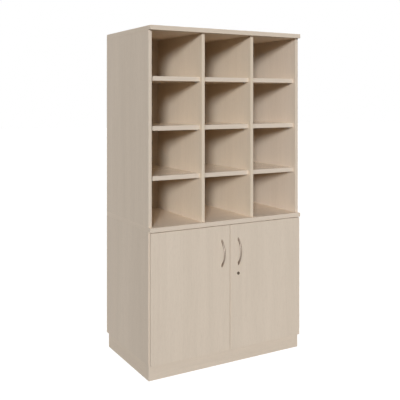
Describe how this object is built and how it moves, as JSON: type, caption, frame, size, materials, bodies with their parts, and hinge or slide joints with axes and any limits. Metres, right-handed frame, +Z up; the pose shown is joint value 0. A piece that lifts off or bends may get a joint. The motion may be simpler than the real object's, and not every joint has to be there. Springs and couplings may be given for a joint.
{
  "type": "pigeonhole cabinet with doors",
  "caption": "Tall office cabinet with open pigeonholes above and a lockable cupboard with hinged doors and bow handles below, in pale maple-effect board.",
  "frame": {"origin": "middle of the overall box, on the floor", "axes": "+Z up, the doors face -Y, X runs across the front"},
  "size_m": [1, 0.65, 1.896],
  "materials": {
    "maple_board": "satin maple-effect melamine board with matching edging",
    "back_board": "satin maple-effect back panel",
    "plinth_board": "satin maple-effect plinth board",
    "handle_metal": "dark warm brushed",
    "lock_metal": "dark satin",
    "zinc_steel": "zinc plated",
    "bumper": "soft pale",
    "dowel": "plain beech"
  },
  "bodies": {
    "carcass": {"base_back": "back_board", "base_bottom": "maple_board", "base_shelf": "maple_board", "base_shelf_pins": "zinc_steel", "base_side_left": "maple_board", "base_side_right": "maple_board", "bottom_dowels": "dowel", "hinge_arms_left": "zinc_steel", "hinge_arms_right": "zinc_steel", "hinge_pins_left": "zinc_steel", "hinge_pins_right": "zinc_steel", "hinge_plates_left": "zinc_steel", "hinge_plates_right": "zinc_steel", "middle_dowels": "dowel", "middle_panel": "maple_board", "pigeonhole_shelf_pins": "zinc_steel", "plinth_brace": "plinth_board", "plinth_dowels": "dowel", "plinth_front": "plinth_board", "plinth_left": "plinth_board", "plinth_rear": "plinth_board", "plinth_right": "plinth_board", "rod_keepers": "zinc_steel", "shelf_1_1": "maple_board", "shelf_1_2": "maple_board", "shelf_1_3": "maple_board", "shelf_2_1": "maple_board", "shelf_2_2": "maple_board", "shelf_2_3": "maple_board", "shelf_3_1": "maple_board", "shelf_3_2": "maple_board", "shelf_3_3": "maple_board", "top_dowels": "dowel", "upper_back": "back_board", "upper_divider_1": "maple_board", "upper_divider_2": "maple_board", "upper_side_left": "maple_board", "upper_side_right": "maple_board", "upper_top": "maple_board"},
    "door_left": {"door_left": "maple_board", "handle_left": "handle_metal", "handle_screws_left": "zinc_steel", "hinge_cups_left": "zinc_steel", "door_bumpers_left": "bumper"},
    "door_right": {"door_right": "maple_board", "handle_right": "handle_metal", "handle_screws_right": "zinc_steel", "hinge_cups_right": "zinc_steel", "door_bumpers_right": "bumper", "lock_cylinder": "lock_metal", "lock_case": "zinc_steel", "rod_guides": "zinc_steel"},
    "hinge_links_left": {"hinge_links_left": "zinc_steel"},
    "hinge_links_right": {"hinge_links_right": "zinc_steel"},
    "lock_plug": {"lock_plug": "lock_metal"},
    "lock_rod": {"lock_rod": "zinc_steel", "rod_hooks": "zinc_steel"}
  },
  "joints": [
    {"name": "door_left_hinge", "type": "hinge", "parent": "carcass", "child": "door_left", "pos_m": [-0.4905, -0.281, 0.43575], "axis": [0, 0, -1], "range_deg": [0, 105]},
    {"name": "hinge_links_left_pivot", "type": "hinge", "parent": "carcass", "child": "hinge_links_left", "pos_m": [-0.4785, -0.278, 0.43575], "axis": [0, 0, -1], "range_deg": [0, 105]},
    {"name": "door_right_hinge", "type": "hinge", "parent": "carcass", "child": "door_right", "pos_m": [0.4905, -0.281, 0.43575], "axis": [0, 0, 1], "range_deg": [0, 105]},
    {"name": "hinge_links_right_pivot", "type": "hinge", "parent": "carcass", "child": "hinge_links_right", "pos_m": [0.4785, -0.278, 0.43575], "axis": [0, 0, 1], "range_deg": [0, 105]},
    {"name": "lock_plug_turn", "type": "hinge", "parent": "door_right", "child": "lock_plug", "pos_m": [0.055, -0.292, 0.509], "axis": [0, 1, 0], "range_deg": [0, 90]},
    {"name": "lock_rod_turn", "type": "hinge", "parent": "door_right", "child": "lock_rod", "pos_m": [0.055, -0.263, 0.509], "axis": [0, 0, -1], "range_deg": [0, 90]}
  ],
  "couplings": [
    {"joint": "hinge_links_left_pivot", "follows": "door_left_hinge", "ratio": 1},
    {"joint": "hinge_links_right_pivot", "follows": "door_right_hinge", "ratio": 1},
    {"joint": "lock_plug_turn", "follows": "lock_rod_turn", "ratio": 1}
  ]
}
